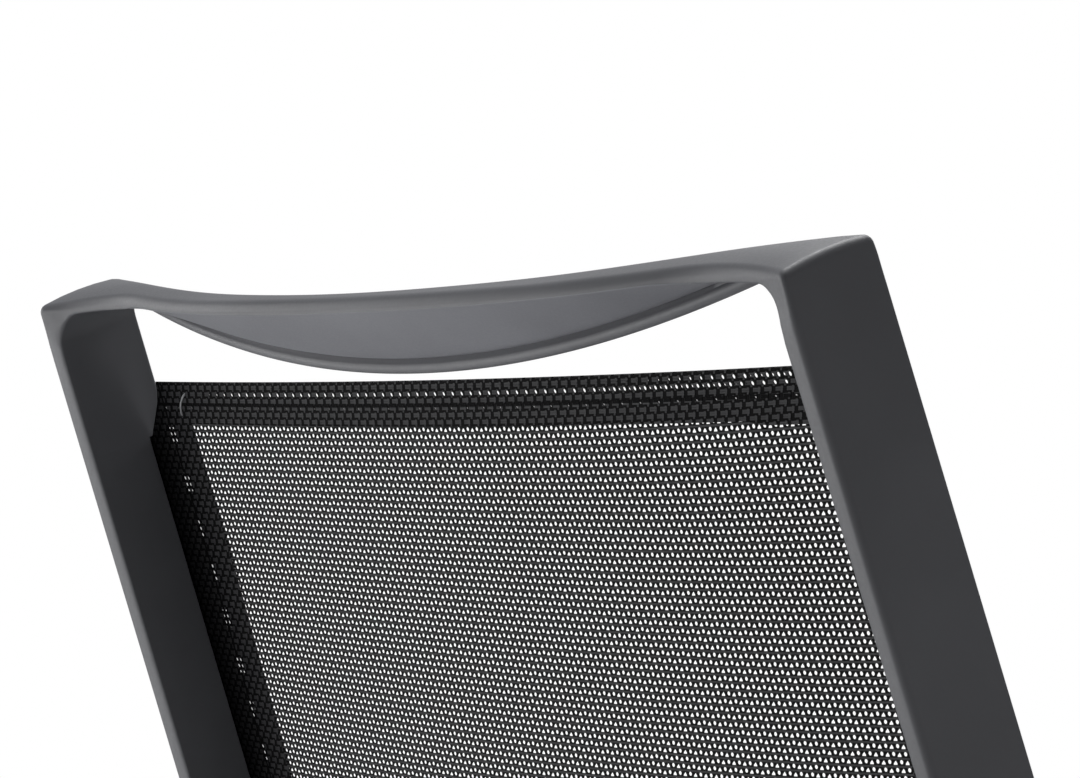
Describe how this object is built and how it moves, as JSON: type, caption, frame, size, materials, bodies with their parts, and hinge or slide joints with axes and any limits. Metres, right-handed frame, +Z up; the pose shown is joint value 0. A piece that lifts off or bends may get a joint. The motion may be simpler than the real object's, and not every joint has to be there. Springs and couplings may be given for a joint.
{
  "type": "sling patio chair",
  "caption": "Outdoor armchair with a mesh sling stretched between deep flat aluminium side rails, under a bowed, twisted crest bar, on hoop-shaped arms and legs.",
  "frame": {"origin": "on the floor, under the middle of the chair's bounding box", "axes": "+Z up; the sitter faces -Y, so the front is -Y and the sitter's left is +X"},
  "size_m": [0.6206, 0.687, 0.8984],
  "materials": {
    "frame_coat": "matte powder coat, anthracite",
    "panel_coat": "matte powder coat, anthracite",
    "sling_mesh": "matte",
    "sling_rod": "matte",
    "black_nylon": "matte",
    "arm_pad": "matte",
    "fastener_steel": "satin, dark"
  },
  "bodies": {
    "root": {"side_rail_left": "frame_coat", "side_rail_right": "frame_coat", "crest_bar": "frame_coat", "crest_rear_panel": "panel_coat", "sling": "sling_mesh", "sling_rod_left": "sling_rod", "sling_rod_right": "sling_rod", "side_hoop_left": "frame_coat", "side_hoop_right": "frame_coat", "glide_front_left": "black_nylon", "glide_front_right": "black_nylon", "glide_rear_left": "black_nylon", "glide_rear_right": "black_nylon", "arm_pad_left": "arm_pad", "arm_pad_right": "arm_pad", "arm_pad_screw_front_left": "fastener_steel", "arm_pad_screw_front_right": "fastener_steel", "arm_pad_screw_rear_left": "fastener_steel", "arm_pad_screw_rear_right": "fastener_steel", "arm_bolt_left": "fastener_steel", "arm_nut_left": "fastener_steel", "arm_spacer_left": "black_nylon", "arm_bolt_right": "fastener_steel", "arm_nut_right": "fastener_steel", "arm_spacer_right": "black_nylon", "seat_bolt_left": "fastener_steel", "seat_nut_left": "fastener_steel", "seat_spacer_left": "black_nylon", "seat_bolt_right": "fastener_steel", "seat_nut_right": "fastener_steel", "seat_spacer_right": "black_nylon", "back_spreader": "frame_coat", "back_spreader_bolt_left": "fastener_steel", "back_spreader_bolt_right": "fastener_steel", "rear_spreader": "frame_coat", "rear_spreader_bolt_left": "fastener_steel", "rear_spreader_bolt_right": "fastener_steel", "front_spreader": "frame_coat", "front_spreader_bolt_left": "fastener_steel", "front_spreader_bolt_right": "fastener_steel", "rail_cap_left": "black_nylon", "rail_cap_right": "black_nylon"}
  },
  "joints": []
}
